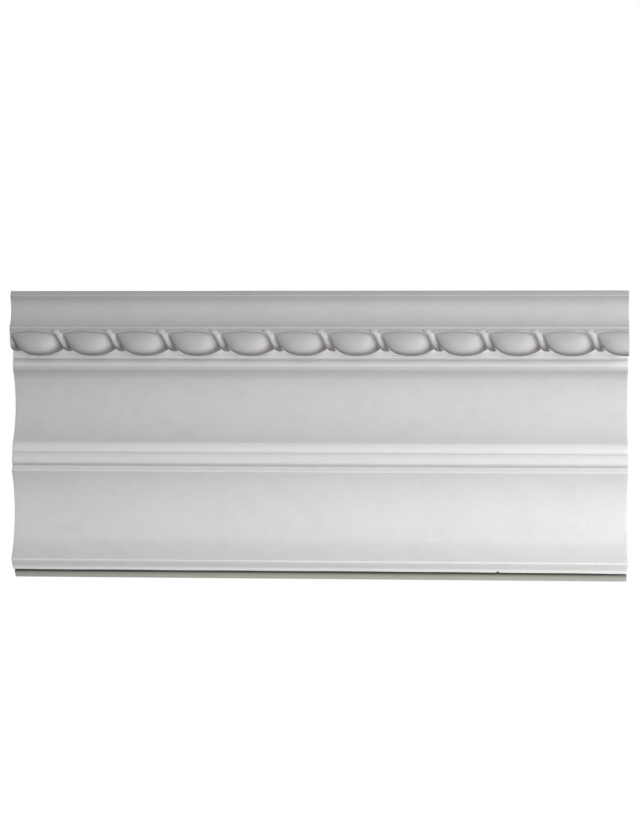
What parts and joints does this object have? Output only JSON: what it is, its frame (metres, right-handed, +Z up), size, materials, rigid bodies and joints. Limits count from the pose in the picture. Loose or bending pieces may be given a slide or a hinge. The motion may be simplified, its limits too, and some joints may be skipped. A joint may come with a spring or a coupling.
{
  "type": "cornice moulding length",
  "caption": "Length of cast plaster cornice with deep coves, plain reeds and a twisted rope band, fixed in the angle between a wall and a ceiling.",
  "frame": {"origin": "middle of the flat bed that goes against the wall, halfway along the length", "axes": "+X along the length, +Y into the wall, +Z up to the ceiling; the room is towards -Y and down"},
  "size_m": [0.318, 0.1175, 0.0962],
  "materials": {
    "plaster": "cast gypsum plaster, off-white and matt"
  },
  "bodies": {
    "root": {"cornice_moulding": "plaster"}
  },
  "joints": []
}
